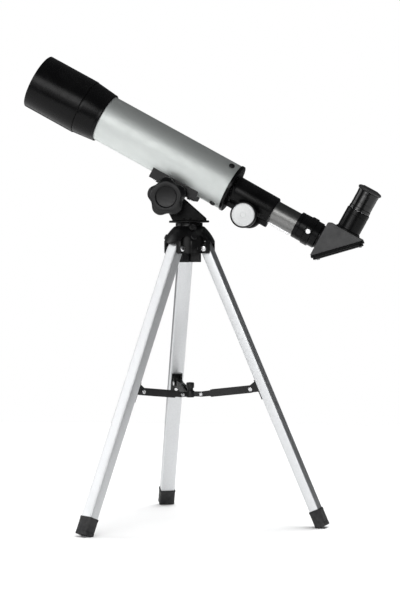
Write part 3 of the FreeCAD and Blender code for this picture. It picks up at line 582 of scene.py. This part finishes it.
def cap_mesh(name):
    """A rubber boot: a rounded box with a rolled top lip and a groove, cut flat along the ground."""
    outline = round_rect(13.4, 18.9, 2.0)
    shape = bmesh.new()
    rings = []
    levels = [
        (-323.0, 0.985), (-323.4, 1.0), (-325.4, 1.0), (-325.9, 0.975), (-337.6, 0.975), (-338.0, 0.955),
        (-338.5, 0.955), (-338.9, 0.98), (-342.6, 0.985), (-343.4, 0.95), (-343.55, 0.9),
    ]
    for height, size in levels:
        rings.append([shape.verts.new((x * size, y * size, height)) for x, y in outline])
    for low, high in zip(rings, rings[1:]):
        for index in range(len(outline)):
            after = (index + 1) % len(outline)
            shape.faces.new((low[index], low[after], high[after], high[index]))
    shape.faces.new(rings[-1])
    shape.faces.new(list(reversed(rings[0])))
    bmesh.ops.recalc_face_normals(shape, faces=shape.faces)
    slope = math.radians(LEG_TILT)
    ground = Vector((-math.sin(slope), 0, -math.cos(slope)))
    hinge_height = JOINTS["right_leg_fold"]["pos_m"][2] / MM
    above_floor = 0.02
    made = bmesh.ops.bisect_plane(
        shape, geom=list(shape.verts) + list(shape.edges) + list(shape.faces),
        plane_co=ground * (hinge_height - above_floor), plane_no=ground, clear_outer=True)
    rim = [item for item in made["geom_cut"] if isinstance(item, bmesh.types.BMEdge)]
    bmesh.ops.contextual_create(shape, geom=rim)
    bmesh.ops.recalc_face_normals(shape, faces=shape.faces)
    mesh = bpy.data.meshes.new(name)
    shape.to_mesh(mesh)
    shape.free()
    return mesh


# ---- soft edges on the parts that keep their own shape ------------------------------------------

# The width in millimetres of each part's rounded edges.
SOFT_EDGES = {
    "saddle": 0.5, "mount_yoke": 0.6, "tripod_head": 0.45, "focuser_body": 0.4, "pinion_cover": 0.5,
    "diagonal_housing": 0.7, "diagonal_barrel": 0.25, "spreader_hub": 0.3,
    "right_spreader_arm": 0.2, "back_spreader_arm": 0.2, "left_spreader_arm": 0.2,
    "right_leg_bracket": 0.2, "back_leg_bracket": 0.2, "left_leg_bracket": 0.2,
}


def soften_edges():
    """A small round on each sharp edge, which catches the light as a moulded edge does."""
    for node_name, width in SOFT_EDGES.items():
        node = frame["nodes"][node_name]
        weld = node.modifiers.new("weld", "WELD")
        weld.merge_threshold = 0.000005
        flatten = node.modifiers.new("flatten", "DECIMATE")
        flatten.decimate_type = "DISSOLVE"
        flatten.angle_limit = math.radians(1.0)
        bevel = node.modifiers.new("bevel", "BEVEL")
        bevel.width = width * MM
        bevel.segments = 3
        bevel.limit_method = "ANGLE"
        bevel.angle_limit = math.radians(35)
        bevel.harden_normals = True


make_optics()
make_focus_knobs()
make_eyepiece()
make_clamp_knob()
make_diagonal_plate()
make_head_lining()
for leg_side in SIDES:
    make_leg(leg_side)
    make_arm_rivets(leg_side)
soften_edges()


# ---- floor, light and camera ------------------------------------------------------------------

def add_floor():
    """A small sheet of pale paper. A wider one would shine up into the black plastic from behind."""
    mesh = bpy.data.meshes.new("floor")
    reach = 1.15
    corners = [(-reach, -reach, 0), (reach, -reach, 0), (reach, reach, 0), (-reach, reach, 0)]
    mesh.from_pydata(corners, [], [(0, 1, 2, 3)])
    floor = bpy.data.objects.new("floor", mesh)
    bpy.context.scene.collection.objects.link(floor)
    shader = Shader("floor_paper")
    shader.feed("Base Color", shader.blend(shader.noise(3, 2), (0.90, 0.90, 0.90), (0.93, 0.93, 0.93)))
    shader.fix("Roughness", 0.9)
    shader.fix("Specular IOR Level", 0.1)
    mesh.materials.append(shader.material)


def add_softbox(name, place, aim, width, height, power):
    """A rectangular lamp that faces the aim point. Sizes are in metres and power in watts."""
    light = bpy.data.lights.new(name, "AREA")
    light.shape = "RECTANGLE"
    light.size = width
    light.size_y = height
    light.energy = power
    lamp = bpy.data.objects.new(name, light)
    bpy.context.scene.collection.objects.link(lamp)
    lamp.location = place
    lamp.rotation_euler = (Vector(aim) - Vector(place)).to_track_quat("-Z", "Y").to_euler()


def add_sun():
    """Even light from above for the floor. It makes no highlights."""
    light = bpy.data.lights.new("top_light", "SUN")
    light.energy = 3.5
    light.angle = math.radians(60)
    lamp = bpy.data.objects.new("top_light", light)
    bpy.context.scene.collection.objects.link(lamp)
    lamp.rotation_euler = (math.radians(-12), math.radians(10), 0)
    lamp.visible_glossy = False


def add_world():
    """A white backdrop that lights the object only faintly."""
    world = bpy.data.worlds.new("studio")
    bpy.context.scene.world = world
    world.use_nodes = True
    tree = world.node_tree
    seen = tree.nodes["Background"]
    seen.inputs["Color"].default_value = (1, 1, 1, 1)
    room = tree.nodes.new("ShaderNodeBackground")
    room.inputs["Color"].default_value = (0.97, 0.99, 1, 1)
    room.inputs["Strength"].default_value = 0.08
    path = tree.nodes.new("ShaderNodeLightPath")
    mixed = tree.nodes.new("ShaderNodeMixShader")
    tree.links.new(path.outputs["Is Camera Ray"], mixed.inputs["Fac"])
    tree.links.new(room.outputs["Background"], mixed.inputs[1])
    tree.links.new(seen.outputs["Background"], mixed.inputs[2])
    tree.links.new(mixed.outputs["Shader"], tree.nodes["World Output"].inputs["Surface"])


def add_camera():
    """The camera's place, aim and roll are a fit to the three feet, the head and the tube's ends."""
    camera = bpy.data.cameras.new("camera")
    camera.sensor_width = 36.0
    camera.lens = 113.0
    camera.clip_end = 100.0
    eye = bpy.data.objects.new("camera", camera)
    bpy.context.scene.collection.objects.link(eye)
    place = Vector((AXIS.x + 0.3629, AXIS.y - 2.1425, 0.322))
    forward = Vector((-0.1615, 0.9864, -0.0298)).normalized()
    right = forward.cross(UP).normalized()
    up = right.cross(forward)
    roll = math.radians(-0.37)
    tilted = right * math.cos(roll) + up * math.sin(roll)
    upright = up * math.cos(roll) - right * math.sin(roll)
    eye.matrix_world = Matrix.Translation(place) @ Matrix((tilted, upright, -forward)).transposed().to_4x4()
    bpy.context.scene.camera = eye


add_floor()
add_world()
add_camera()
add_sun()
add_softbox("front_box", (-0.45, -2.5, 1.15), (-0.05, 0, 0.4), 1.7, 1.0, 21)
add_softbox("wide_box", (-1.0, -3.1, 0.85), (-0.05, 0, 0.3), 3.2, 1.7, 19)
add_softbox("left_box", (-2.2, 0.1, 1.0), (0, 0, 0.2), 1.3, 1.6, 15)
add_softbox("right_box", (2.6, -0.3, 0.8), (0, 0, 0.2), 1.2, 1.4, 2.0)
bpy.context.scene.view_settings.view_transform = "Standard"
